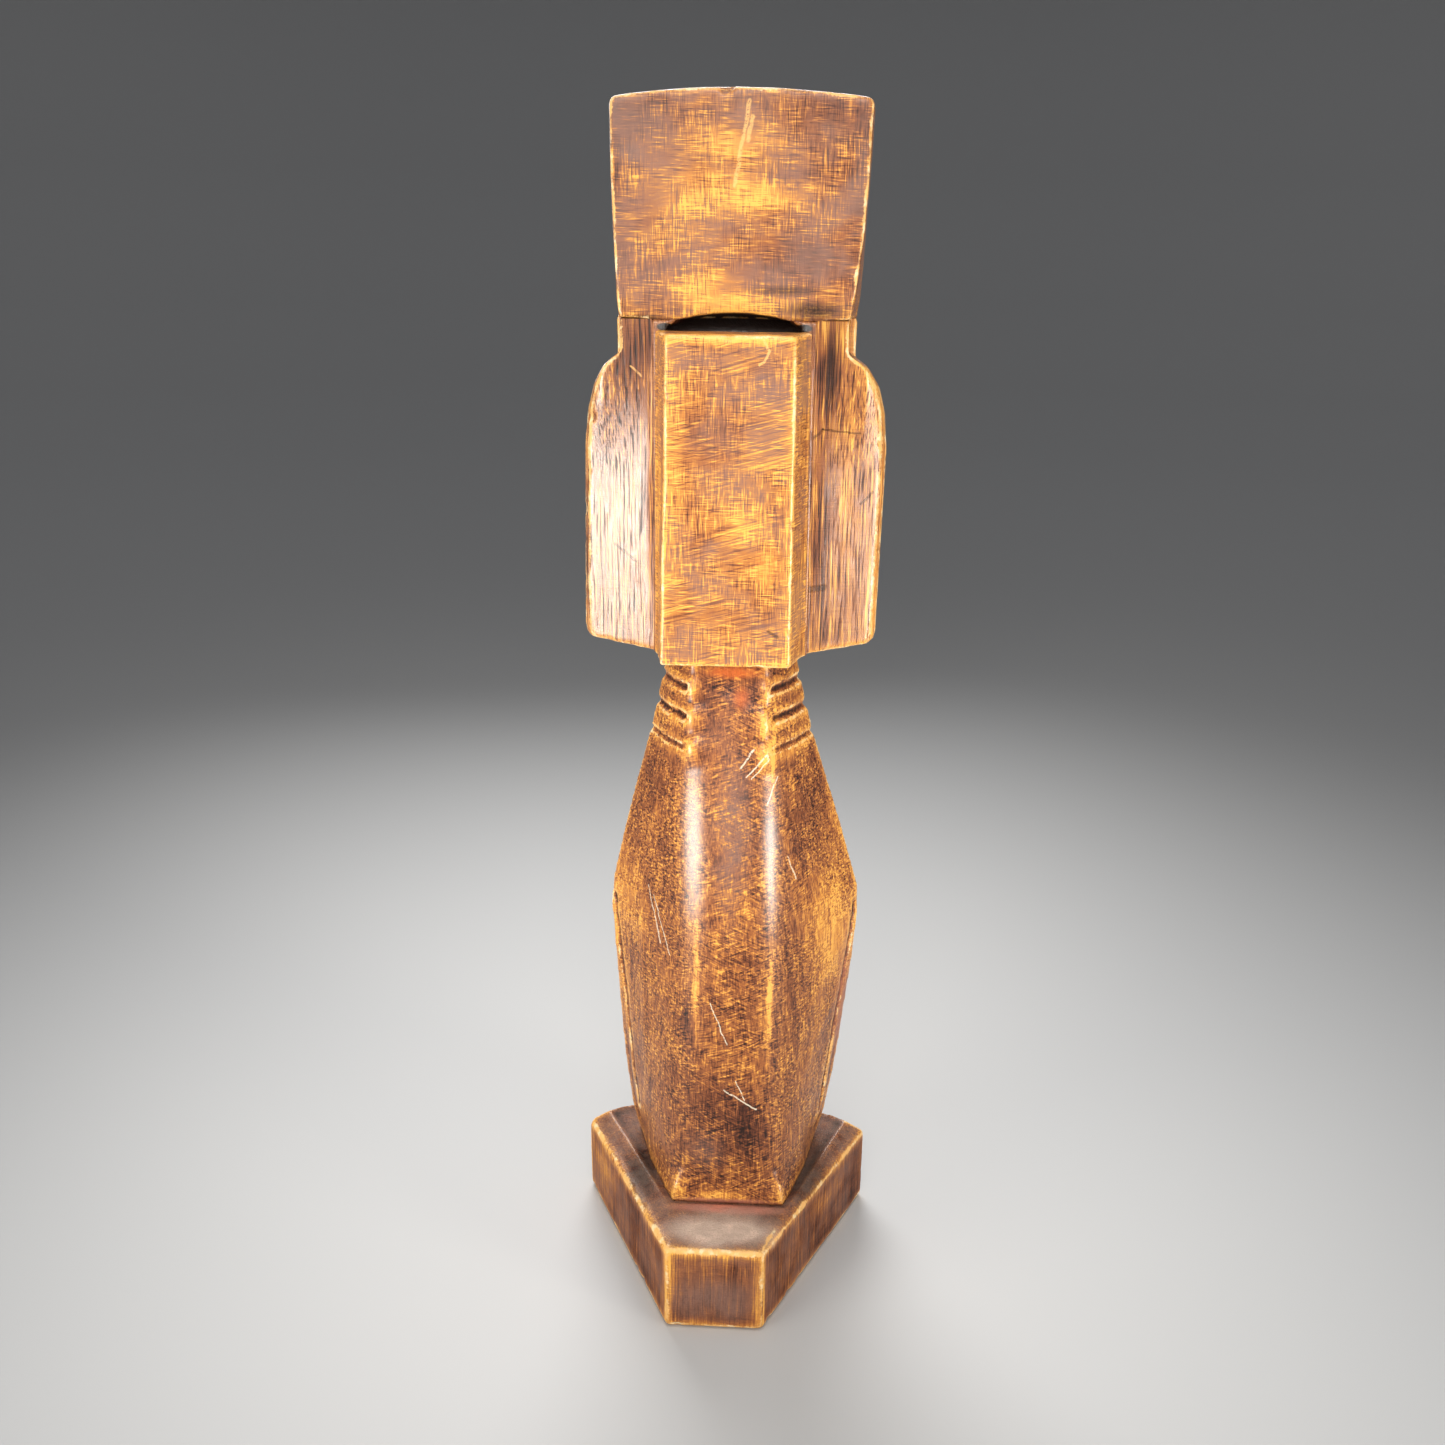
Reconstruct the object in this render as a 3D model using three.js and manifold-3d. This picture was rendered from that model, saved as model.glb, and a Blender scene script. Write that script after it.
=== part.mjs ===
// Carved wooden tiki figure: a tall flared crown, a head with side flaps and a hair slab
// down its back, a ringed neck, a wedge-shaped faceted body and a wedge-shaped plinth.
// Millimetres, +Z up. The figure faces -Y and its own left hand is on +X. The origin is on
// the floor, in the middle of the plinth.

import * as THREE from 'three';
import { mergeVertices } from 'three/addons/utils/BufferGeometryUtils.js';
import Module from 'manifold-3d';

const wasm = await Module();
wasm.setup();

// ---------------------------------------------------------------- driving dimensions

const HEIGHT = 380;
const GAP = 0.3; // clearance between two glued faces
const OVERRUN = 2; // how far a cutting shape runs past the face that it cuts

const BACK_PANEL_Y = -12; // back face of the crown and the head
const FACE_SPLIT_Y = -27; // the flaps stand behind this plane, the face in front of it

const PLINTH = {
  edgeHeight: 28,
  backEdgeHeight: 31,
  ridgeHeight: 31.8,
  seatHeight: 30.6,
  footRound: 1.2,
  edge: { backHalf: 15.8, backY: 46.3, wideHalf: 51, wideY: -28, frontY: -42, shift: 0 },
  ridge: { backHalf: 19.7, backY: 23.4, wideHalf: 43.5, wideY: -28.5, frontY: -38.6, shift: -3 },
  seat: { backHalf: 18.9, backY: 22.4, wideHalf: 42.3, wideY: -28.2, frontY: -37.8, shift: -3 },
};

// Body stations from the foot up: the back facet, the widest line and the front face.
// `shift` moves the whole station sideways and `skew` moves its back facet a little more.
const BODY = {
  bottom: PLINTH.seatHeight + GAP,
  top: 213.4,
  stations: [
    { z: 30.9, backHalf: 18.6, backY: 21.4, wideHalf: 31.5, wideY: -20, frontY: -35.6 },
    { z: 34, backHalf: 18.4, backY: 21.5, wideHalf: 33, wideY: -20.5, frontY: -37 },
    { z: 42, backHalf: 17.9, backY: 21.3, wideHalf: 35.1, wideY: -21, frontY: -38.4 },
    { z: 60, backHalf: 16.5, backY: 20.6, wideHalf: 37.8, wideY: -22, frontY: -40 },
    { z: 80, backHalf: 15, backY: 19.2, wideHalf: 39.8, wideY: -23, frontY: -40.6 },
    { z: 100, backHalf: 13.6, backY: 17.4, wideHalf: 41.6, wideY: -24, frontY: -41 },
    { z: 119, backHalf: 12.6, backY: 15, wideHalf: 43.1, wideY: -25, frontY: -41 },
    { z: 129, backHalf: 12.3, backY: 13.6, wideHalf: 42.4, wideY: -25, frontY: -40.6 },
    { z: 148, backHalf: 12.1, backY: 9.6, wideHalf: 37.6, wideY: -24.6, frontY: -39.4 },
    { z: 170, backHalf: 12, backY: 4, wideHalf: 31.4, wideY: -24, frontY: -37 },
    { z: 186, backHalf: 12, backY: -0.6, wideHalf: 26.8, wideY: -23.4, frontY: -35 },
    { z: 214, backHalf: 11.8, backY: -7.6, wideHalf: 20.6, wideY: -22.6, frontY: -32.6 },
  ],
  shiftAt: [[30, -0.6], [60, -1.1], [100, -1.8], [129, -2], [160, -1], [190, -0.2], [214, 0]],
  skewAt: [[30, -2.4], [60, -1.3], [100, -0.5], [140, 0], [214, 0]],
};
const NECK_RINGS = { heights: [185.4, 194.6, 203.8], halfWidth: 1.6, depth: 1.7 };
const SIDE_GROOVE = { topZ: 124, bottomZ: 46, topT: 0.97, bottomT: 0.76, radius: 1.7 };

const CHEST_RECESS = {
  floorY: -35,
  outline: [[0, 188], [10, 184], [20, 160], [27, 138], [25, 130], [12, 124], [0, 122]],
};
const WAIST_RECESS = {
  floorY: -36,
  outline: [[0, 97], [12, 98], [29, 105], [34, 101], [32, 88], [16, 83], [0, 80]],
};
const LEG_GAP = { floorY: -33.5, outline: [[0, 84], [5, 80], [5.5, 60], [4, 40], [3, 30], [0, 30]] };
const FINGER_GROOVES = { xs: [4.5, 8.5, 12.5], topZ: 121, bottomZ: 100, radius: 1.1 };
const TOE_GROOVES = { xs: [10, 15.5, 21], topZ: 42, bottomZ: 29, radius: 1.1 };
const HAND_GAP = { topZ: 124, bottomZ: 94, radius: 1.6 };

const HEAD = {
  bottom: 214,
  top: 316.4,
  backHalf: 24,
  face: [
    { z: 214, half: 18.5, frontY: -34 },
    { z: 223, half: 25, frontY: -36.4 },
    { z: 240, half: 30, frontY: -36.8 },
    { z: 262, half: 32.6, frontY: -35 },
    { z: 297, half: 33.6, frontY: -33.6 },
    { z: 301.5, half: 36.6, frontY: -38.4 },
    { z: 316.4, half: 36.9, frontY: -37.6 },
  ],
};
const NOSE = [
  { z: 256, half: 9.5, frontY: -39 },
  { z: 260, half: 9.8, frontY: -41.7 },
  { z: 266, half: 8, frontY: -41.4 },
  { z: 303, half: 4, frontY: -37.2 },
];
const EYE = { x: 17.5, y: -33.6, z: 281, rx: 10.5, ry: 4.4, rz: 6.4 };
const LIPS = { y: -35.8, z: 235, rx: 17.5, ry: 4.2, rz: 7.4 };
const MOUTH_LINE = { half: 15, bow: 1.6, radius: 1.2 };

const CROWN = {
  bottom: 316.7,
  sideTop: 375.6,
  frontY: -37.6,
  bottomHalf: 34.2,
  waistHalf: 35.6,
  topHalf: 36.9,
  frontWiden: 2.7,
  archRise: 2.6,
  cornerRound: 1.8,
  shift: -0.6,
};
const FLUTES = { xs: [-24, -8, 8, 24], radius: 1.5, lean: 0.06 };

// Half widths of the slab on the figure's left and right, at its root and its back face.
const SLAB = {
  bottom: 214,
  top: 313.5,
  root: { bottom: [23.6, 23.4], top: [23.2, 22.6], y: [BACK_PANEL_Y + GAP, BACK_PANEL_Y + GAP] },
  back: { bottom: [21, 19.1], top: [19.3, 18.7], y: [3.4, 2.2] },
};
const CAVITY = { z: 313, rx: 20.5, ry: 11, rz: 5.4 };

const FLAP = {
  innerX: 24.3,
  outerX: 47,
  innerBackY: BACK_PANEL_Y,
  outerBackY: -20.4,
  frontY: FACE_SPLIT_Y + GAP,
  bevel: 1.8,
  lean: 0.018,
  leanZ: 262,
  outline: [
    [24.3, 214.3], [45.2, 216.2], [46.5, 217.6], [47, 220], [47, 278], [45.8, 289], [43.6, 297],
    [40, 302.8], [34.2, 307], [34, 316.4], [24.3, 316.4],
  ],
};

const DOWEL = { clearance: 0.3, segments: 24 };
const FOOT_DOWEL = { x: 14, y: -9, radius: 4, bottom: 13, top: 49 };
const NECK_DOWEL = { y: -20, radius: 6, bottom: 190, top: 237 };
const CROWN_DOWEL = { x: 14, y: -28, radius: 3.5, bottom: 300, top: 334 };
const SLAB_PEG = { zs: [256, 294], radius: 3, frontY: -23, backY: -3 };

// ---------------------------------------------------------------- solids

function toSolid(geometry) {
  geometry.deleteAttribute('normal');
  geometry.deleteAttribute('uv');
  const merged = mergeVertices(geometry, 1e-4);
  return new wasm.Manifold(new wasm.Mesh({
    numProp: 3,
    vertProperties: new Float32Array(merged.attributes.position.array),
    triVerts: new Uint32Array(merged.index.array),
  }));
}

function toGeometry(solid) {
  const mesh = solid.getMesh();
  const geometry = new THREE.BufferGeometry();
  geometry.setAttribute('position', new THREE.BufferAttribute(mesh.vertProperties, mesh.numProp));
  geometry.setIndex(new THREE.BufferAttribute(mesh.triVerts, 1));
  geometry.computeVertexNormals();
  return geometry;
}

function signedVolume(position, index) {
  const [a, b, c] = [new THREE.Vector3(), new THREE.Vector3(), new THREE.Vector3()];
  let sum = 0;
  for (let i = 0; i < index.length; i += 3) {
    a.fromArray(position, 3 * index[i]);
    b.fromArray(position, 3 * index[i + 1]);
    c.fromArray(position, 3 * index[i + 2]);
    sum += a.dot(b.cross(c)) / 6;
  }
  return sum;
}

// A closed solid through flat rings that all have the same number of points. `drop` is the
// coordinate that is left out when an end ring is cut into triangles.
function loft(rings, drop) {
  const count = rings[0].length;
  const index = [];
  for (let ring = 0; ring + 1 < rings.length; ring += 1) {
    for (let i = 0; i < count; i += 1) {
      const low = ring * count + i;
      const lowNext = ring * count + ((i + 1) % count);
      index.push(low, lowNext, lowNext + count, low, lowNext + count, low + count);
    }
  }
  const keep = [0, 1, 2].filter((axis) => axis !== drop);
  const flat = (ring) => ring.map((p) => new THREE.Vector2(p[keep[0]], p[keep[1]]));
  const cap = (ring, offset, forwards) => {
    const points = flat(ring);
    const turn = Math.sign(THREE.ShapeUtils.area(points));
    THREE.ShapeUtils.triangulateShape(points, []).forEach((face) => {
      const same = Math.sign(THREE.ShapeUtils.area(face.map((i) => points[i]))) === turn;
      const ordered = same === forwards ? face : [face[0], face[2], face[1]];
      index.push(...ordered.map((i) => i + offset));
    });
  };
  cap(rings[0], 0, false);
  cap(rings[rings.length - 1], (rings.length - 1) * count, true);
  const position = new Float32Array(rings.flat(2));
  if (signedVolume(position, index) < 0) index.reverse();
  const geometry = new THREE.BufferGeometry();
  geometry.setAttribute('position', new THREE.BufferAttribute(position, 3));
  geometry.setIndex(index);
  return toSolid(geometry);
}

// A polygon given as [x, z] points, run from one Y to another.
function prism(outline, fromY, toY) {
  return loft([fromY, toY].map((y) => outline.map(([x, z]) => [x, y, z])), 1);
}

// Half an outline from the middle line outwards and back, completed by its mirror image.
function mirrored(half) {
  const inside = half.filter(([x]) => x > 0).reverse();
  return [...half, ...inside.map(([x, z]) => [-x, z])];
}

function ellipsoid(x, y, z, rx, ry, rz) {
  const geometry = new THREE.SphereGeometry(1, 28, 16);
  geometry.scale(rx, ry, rz);
  geometry.translate(x, y, z);
  return toSolid(geometry);
}

// A square bar set on its corner that follows a line: it cuts a V-shaped groove.
function grooveCutter(points, radius) {
  const section = new THREE.Shape([
    new THREE.Vector2(radius, 0), new THREE.Vector2(0, radius),
    new THREE.Vector2(-radius, 0), new THREE.Vector2(0, -radius),
  ]);
  const path = points.length > 2
    ? new THREE.CatmullRomCurve3(points) : new THREE.LineCurve3(points[0], points[1]);
  const steps = points.length > 2 ? 4 * points.length : 1;
  return toSolid(new THREE.ExtrudeGeometry(section, { steps, bevelEnabled: false, extrudePath: path }));
}

function cylinder(radius, from, to) {
  const start = new THREE.Vector3(...from);
  const end = new THREE.Vector3(...to);
  const geometry = new THREE.CylinderGeometry(radius, radius, start.distanceTo(end), DOWEL.segments);
  const along = new THREE.Vector3().subVectors(end, start).normalize();
  geometry.applyQuaternion(new THREE.Quaternion().setFromUnitVectors(new THREE.Vector3(0, 1, 0), along));
  geometry.translate(...start.add(end).multiplyScalar(0.5).toArray());
  return toSolid(geometry);
}

const socket = (radius, from, to) => cylinder(radius + DOWEL.clearance, from, to);

function cutAll(solid, cutters) {
  return cutters.reduce((rest, cutter) => rest.subtract(cutter), solid);
}

function joinAll(solids) {
  return solids.reduce((whole, solid) => whole.add(solid));
}

const mix = (a, b, t) => a + (b - a) * t;

// ---------------------------------------------------------------- dowels and their sockets

const along = (dowel, end) => {
  const extra = DOWEL.clearance + OVERRUN * 0.25;
  return end === 'top' ? dowel.top + extra : dowel.bottom - extra;
};

const upright = (dowel, x) => cylinder(dowel.radius, [x, dowel.y, dowel.bottom], [x, dowel.y, dowel.top]);
const uprightSocket = (dowel, x) => (
  socket(dowel.radius, [x, dowel.y, along(dowel, 'bottom')], [x, dowel.y, along(dowel, 'top')])
);

const footX = (side) => PLINTH.seat.shift + side * FOOT_DOWEL.x;
const footSockets = [-1, 1].map((side) => uprightSocket(FOOT_DOWEL, footX(side)));
const neckSocket = uprightSocket(NECK_DOWEL, 0);
const crownSockets = [-1, 1].map((side) => uprightSocket(CROWN_DOWEL, side * CROWN_DOWEL.x));
const slabPeg = (z) => cylinder(SLAB_PEG.radius, [0, SLAB_PEG.frontY, z], [0, SLAB_PEG.backY, z]);
const slabSockets = SLAB_PEG.zs.map((z) => (
  socket(SLAB_PEG.radius, [0, SLAB_PEG.frontY - 0.8, z], [0, SLAB_PEG.backY + 0.8, z])
));

// ---------------------------------------------------------------- plinth

// Wedge-shaped plan: a short chamfer at the back, straight sides that splay towards the
// front, and a bowed front.
function wedgeRing({ backHalf, backY, wideHalf, wideY, frontY, shift }, z, inset = 0) {
  const bow = frontY - wideY;
  const half = [
    [wideHalf - inset, wideY + inset * 0.3],
    [wideHalf * 0.87, wideY + bow * 0.34],
    [wideHalf * 0.69, wideY + bow * 0.6],
    [wideHalf * 0.41, wideY + bow * 0.88],
    [wideHalf * 0.15, frontY + inset],
  ];
  return [
    [shift + backHalf - inset, backY - inset, z],
    [shift - backHalf + inset, backY - inset, z],
    ...half.map(([x, y]) => [-x, y, z]),
    ...half.reverse().map(([x, y]) => [x, y, z]),
  ];
}

function makePlinth() {
  const { edge, edgeHeight, backEdgeHeight } = PLINTH;
  const rise = (y) => (backEdgeHeight - edgeHeight) * Math.max(0, y - edge.wideY) / (edge.backY - edge.wideY);
  const tilted = (ring) => ring.map(([x, y, z]) => [x, y, z + rise(y)]);
  const block = loft([
    wedgeRing(PLINTH.edge, 0, PLINTH.footRound),
    wedgeRing(PLINTH.edge, PLINTH.footRound),
    tilted(wedgeRing(PLINTH.edge, PLINTH.edgeHeight - 0.6)),
    tilted(wedgeRing(PLINTH.edge, PLINTH.edgeHeight, 0.6)),
    wedgeRing(PLINTH.ridge, PLINTH.ridgeHeight),
    wedgeRing(PLINTH.seat, PLINTH.seatHeight),
  ], 2);
  return cutAll(block, footSockets);
}

// ---------------------------------------------------------------- body

function curveAt(rows, z) {
  const above = Math.max(1, rows.findIndex((row) => row[0] >= z));
  const [low, high] = [rows[above - 1], rows[above]];
  return mix(low[1], high[1], (z - low[0]) / (high[0] - low[0]));
}

function stationAt(z) {
  const rows = BODY.stations;
  const above = Math.max(1, rows.findIndex((row) => row.z >= z));
  const [low, high] = [rows[above - 1], rows[above]];
  const t = (z - low.z) / (high.z - low.z);
  const station = Object.fromEntries(Object.keys(low).map((key) => [key, mix(low[key], high[key], t)]));
  return { ...station, shift: curveAt(BODY.shiftAt, z), skew: curveAt(BODY.skewAt, z) };
}

// A point on the side facet at a height: t = 0 on the back ridge, t = 1 on the widest line.
function sidePoint({ shift, skew, backHalf, backY, wideHalf, wideY }, side, t) {
  const out = 1.2 * Math.sin(Math.PI * t);
  const x = mix(skew + side * backHalf, side * wideHalf, t) + side * out;
  return [shift + x, mix(backY, wideY, t) + out * 0.6];
}

function bodyRing(z, grooveDepth = 0) {
  const station = stationAt(z);
  const { shift, skew, backHalf, backY, wideHalf, wideY, frontY } = station;
  const inwards = ([x, y]) => {
    const centreY = (backY + frontY) / 2;
    const reach = Math.hypot(x, y - centreY);
    const scale = (reach - grooveDepth) / reach;
    return [x * scale, centreY + (y - centreY) * scale];
  };
  const sidePoints = (side) => [
    sidePoint(station, side, 0.08),
    inwards(sidePoint(station, side, 0.17)),
    inwards(sidePoint(station, side, 0.55)),
    inwards([shift + side * wideHalf, wideY]),
    inwards([shift + side * wideHalf * 0.9, mix(wideY, frontY, 0.5)]),
    inwards([shift + side * wideHalf * 0.58, frontY + 1.2]),
    inwards([shift + side * wideHalf * 0.2, frontY]),
  ];
  return [
    [shift + skew + backHalf, backY],
    [shift + skew - backHalf, backY],
    ...sidePoints(-1),
    ...sidePoints(1).reverse(),
  ].map(([x, y]) => [x, y, z]);
}

// Upright V grooves over the front of the body, a few millimetres deep.
function frontGrooves({ xs, topZ, bottomZ, radius }, lean) {
  const frontAt = (z) => stationAt(z).frontY + 0.5;
  return xs.flatMap((x) => [-1, 1].map((side) => grooveCutter([
    new THREE.Vector3(side * x, frontAt(bottomZ), bottomZ),
    new THREE.Vector3(side * (x + lean), frontAt(topZ), topZ),
  ], radius)));
}

function makeBody() {
  const { heights, halfWidth, depth } = NECK_RINGS;
  const plain = BODY.stations.map((row) => row.z).filter((z) => z > BODY.bottom && z < BODY.top);
  const rings = [BODY.bottom, ...plain, BODY.top].map((z) => [z, 0]);
  heights.forEach((z) => rings.push([z - halfWidth, 0], [z, depth], [z + halfWidth, 0]));
  rings.sort((a, b) => a[0] - b[0]);
  const block = loft(rings.map(([z, groove]) => bodyRing(z, groove)), 2);

  const recesses = [CHEST_RECESS, WAIST_RECESS, LEG_GAP].map(({ outline, floorY }) => (
    prism(mirrored(outline), PLINTH.edge.frontY - OVERRUN, floorY)
  ));
  const sideGrooves = [-1, 1].map((side) => {
    const { topZ, bottomZ, topT, bottomT, radius } = SIDE_GROOVE;
    const points = [0, 0.25, 0.5, 0.75, 1].map((k) => {
      const z = mix(topZ, bottomZ, k);
      const [x, y] = sidePoint(stationAt(z), side, mix(topT, bottomT, k));
      return new THREE.Vector3(x, y, z);
    });
    return grooveCutter(points, radius);
  });
  const handGap = grooveCutter([HAND_GAP.bottomZ, HAND_GAP.topZ].map((z) => (
    new THREE.Vector3(0, stationAt(z).frontY + 0.3, z)
  )), HAND_GAP.radius);
  return cutAll(block, [
    ...recesses, ...sideGrooves, handGap,
    ...frontGrooves(FINGER_GROOVES, 3), ...frontGrooves(TOE_GROOVES, -1),
    ...footSockets, neckSocket,
  ]);
}

// ---------------------------------------------------------------- head

// One level of the face block: flat at the back and chamfered towards the front.
function faceRing({ z, half, frontY }, backY) {
  const chamferY = mix(backY, frontY, 0.55);
  return [
    [half, backY, z], [-half, backY, z], [-half, chamferY, z],
    [-half * 0.72, frontY + 0.6, z], [-half * 0.3, frontY, z],
    [half * 0.3, frontY, z], [half * 0.72, frontY + 0.6, z], [half, chamferY, z],
  ];
}

function makeHead() {
  const { bottom, top, backHalf, face } = HEAD;
  const core = prism([
    [-backHalf, bottom], [backHalf, bottom], [backHalf, top], [-backHalf, top],
  ], BACK_PANEL_Y, FACE_SPLIT_Y - OVERRUN);
  const faceBlock = loft(face.map((level) => faceRing(level, FACE_SPLIT_Y)), 2);
  const nose = loft(NOSE.map(({ z, half, frontY }) => [
    [half, FACE_SPLIT_Y - OVERRUN, z], [-half, FACE_SPLIT_Y - OVERRUN, z],
    [-half, frontY + 4, z], [-half * 0.45, frontY, z], [half * 0.45, frontY, z], [half, frontY + 4, z],
  ]), 2);
  const eyes = [-1, 1].map((side) => (
    ellipsoid(side * EYE.x, EYE.y, EYE.z, EYE.rx, EYE.ry, EYE.rz)
  ));
  const lips = ellipsoid(0, LIPS.y, LIPS.z, LIPS.rx, LIPS.ry, LIPS.rz);
  const lidLines = [-1, 1].map((side) => grooveCutter([-1, -0.5, 0, 0.5, 1].map((k) => (
    new THREE.Vector3(
      side * EYE.x + k * EYE.rx * 0.86,
      EYE.y - EYE.ry * Math.sqrt(1 - 0.66 * k * k) + 0.2,
      EYE.z - 2 + 1.4 * k * k,
    )
  )), MOUTH_LINE.radius * 0.8));
  const mouthLine = grooveCutter([-1, -0.5, 0, 0.5, 1].map((k) => (
    new THREE.Vector3(
      k * MOUTH_LINE.half,
      LIPS.y - LIPS.ry * Math.sqrt(1 - 0.7 * k * k),
      LIPS.z + MOUTH_LINE.bow * k * k,
    )
  )), MOUTH_LINE.radius);
  const whole = joinAll([core, faceBlock, nose, ...eyes, lips]);
  return cutAll(whole, [...lidLines, mouthLine, cavity(), neckSocket, ...crownSockets, ...slabSockets]);
}

// The gouge above the hair slab, shared by the head and the crown.
function cavity() {
  return ellipsoid(0, BACK_PANEL_Y, CAVITY.z, CAVITY.rx, CAVITY.ry, CAVITY.rz);
}

// ---------------------------------------------------------------- crown

// The crown seen from the back: nearly straight sides that widen to an arched top.
function crownOutline(widen) {
  const { bottom, sideTop, bottomHalf, waistHalf, topHalf, archRise, cornerRound } = CROWN;
  const height = sideTop - bottom;
  const topEdge = HEIGHT - archRise;
  const side = [
    [bottomHalf, bottom],
    [mix(bottomHalf, waistHalf, 0.6), bottom + height * 0.1],
    [waistHalf, bottom + height * 0.3],
    [mix(waistHalf, topHalf, 0.62), bottom + height * 0.65],
    [topHalf, sideTop],
    [topHalf - cornerRound * 0.3, topEdge - cornerRound * 0.25],
    [topHalf - cornerRound, topEdge + 0.2],
  ];
  const arch = [0.75, 0.5, 0.25].map((t) => [topHalf * t, HEIGHT - archRise * t * t]);
  const right = [...side, ...arch].map(([x, z]) => [x + widen * Math.min(1, x / bottomHalf), z]);
  const lean = (z) => CROWN.shift * (z - bottom) / height;
  const outline = [...right, [0, HEIGHT], ...right.map(([x, z]) => [-x, z]).reverse()];
  return outline.map(([x, z]) => [x + lean(z), z]);
}

function makeCrown() {
  const { bottom, frontY, frontWiden } = CROWN;
  const at = (widen, y) => crownOutline(widen).map(([x, z]) => [x, y, z]);
  const block = loft([at(0, BACK_PANEL_Y), at(frontWiden, frontY + 3), at(frontWiden - 0.8, frontY)], 1);
  const flutes = FLUTES.xs.map((x) => grooveCutter([
    new THREE.Vector3(x, frontY, bottom + 5),
    new THREE.Vector3(x * (1 + FLUTES.lean), frontY, HEIGHT + OVERRUN),
  ], FLUTES.radius));
  return cutAll(block, [...flutes, cavity(), ...crownSockets]);
}

// ---------------------------------------------------------------- hair slab and side flaps

function makeHairSlab() {
  const { bottom, top, root, back } = SLAB;
  const ring = (level) => [
    [-level.bottom[1], level.y[0], bottom], [level.bottom[0], level.y[0], bottom],
    [level.top[0], level.y[1], top], [-level.top[1], level.y[1], top],
  ];
  return cutAll(loft([ring(root), ring(back)], 1), slabSockets);
}

function makeFlap(side) {
  const { innerX, outerX, innerBackY, outerBackY, frontY, bevel, lean, leanZ, outline } = FLAP;
  const wing = (x) => Math.max(0, (x - 34.2) / (outerX - 34.2));
  const leaning = outline.map(([x, z]) => [x + side * lean * (leanZ - z) * wing(x), z]);
  const backY = (x) => mix(innerBackY, outerBackY, (x - innerX) / (outerX - innerX));
  const inset = (x) => x - bevel * wing(x);
  const back = leaning.map(([x, z]) => [side * inset(x), backY(inset(x)), z]);
  const shoulder = leaning.map(([x, z]) => [side * x, backY(x) - bevel * 0.8, z]);
  const front = leaning.map(([x, z]) => [side * x, frontY, z]);
  return loft([front, shoulder, back], 1);
}

// ---------------------------------------------------------------- assembly

const WOOD = {
  plinth: 0x4f2a17,
  body: 0x6a3a1c,
  head: 0x6b3d22,
  crown: 0x7a4520,
  slab: 0x7c4826,
  flap: 0x74452a,
  dowel: 0xb98a56,
};

// The shapes above are laid out about the middle of the body, so they all move together to
// put the origin in the middle of the plinth.
const PLAN_CENTRE_Y = (PLINTH.edge.backY + PLINTH.edge.frontY) / 2;

const figure = new THREE.Group();
figure.name = 'tiki_figure';

function addPiece(name, solid, color, roughness) {
  const material = new THREE.MeshStandardMaterial({ name, color, roughness, metalness: 0 });
  const mesh = new THREE.Mesh(toGeometry(solid), material);
  mesh.name = name;
  mesh.position.y = -PLAN_CENTRE_Y;
  figure.add(mesh);
}

const POLISHED = 0.42;
const RAW = 0.8;

addPiece('plinth', makePlinth(), WOOD.plinth, POLISHED);
addPiece('body', makeBody(), WOOD.body, POLISHED);
addPiece('head', makeHead(), WOOD.head, POLISHED);
addPiece('crown', makeCrown(), WOOD.crown, POLISHED);
addPiece('hair_slab', makeHairSlab(), WOOD.slab, POLISHED);
[['left', 1], ['right', -1]].forEach(([name, side]) => {
  addPiece(`side_flap_${name}`, makeFlap(side), WOOD.flap, POLISHED);
  addPiece(`foot_dowel_${name}`, upright(FOOT_DOWEL, footX(side)), WOOD.dowel, RAW);
  addPiece(`crown_dowel_${name}`, upright(CROWN_DOWEL, side * CROWN_DOWEL.x), WOOD.dowel, RAW);
});
addPiece('neck_dowel', upright(NECK_DOWEL, 0), WOOD.dowel, RAW);
SLAB_PEG.zs.forEach((z, i) => {
  addPiece(`slab_peg_${['lower', 'upper'][i]}`, slabPeg(z), WOOD.dowel, RAW);
});

export default figure;
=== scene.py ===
"""Looks of the carved tiki figure. Every visible block is remeshed from its CAD solid, worn and made
uneven, and given a stained and waxed wood. Metres, +Z up; the figure faces -Y and is seen from behind."""

import math

import bmesh
import bpy
import numpy as np
from mathutils import Matrix, Vector, kdtree, noise
from mathutils.bvhtree import BVHTree


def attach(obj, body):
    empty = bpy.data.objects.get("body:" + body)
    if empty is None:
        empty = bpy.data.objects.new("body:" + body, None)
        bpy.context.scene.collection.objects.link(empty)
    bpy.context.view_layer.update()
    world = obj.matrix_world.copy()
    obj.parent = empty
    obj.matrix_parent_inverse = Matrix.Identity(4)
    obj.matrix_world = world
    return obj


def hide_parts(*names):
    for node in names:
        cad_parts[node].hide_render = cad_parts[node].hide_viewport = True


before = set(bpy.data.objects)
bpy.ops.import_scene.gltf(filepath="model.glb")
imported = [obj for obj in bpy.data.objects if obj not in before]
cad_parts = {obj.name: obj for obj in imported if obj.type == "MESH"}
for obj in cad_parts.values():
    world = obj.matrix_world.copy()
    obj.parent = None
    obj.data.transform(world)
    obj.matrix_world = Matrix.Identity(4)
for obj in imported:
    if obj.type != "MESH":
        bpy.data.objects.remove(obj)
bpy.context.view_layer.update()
MM = 0.001

# ---------------------------------------------------------------- camera, floor and light

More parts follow.
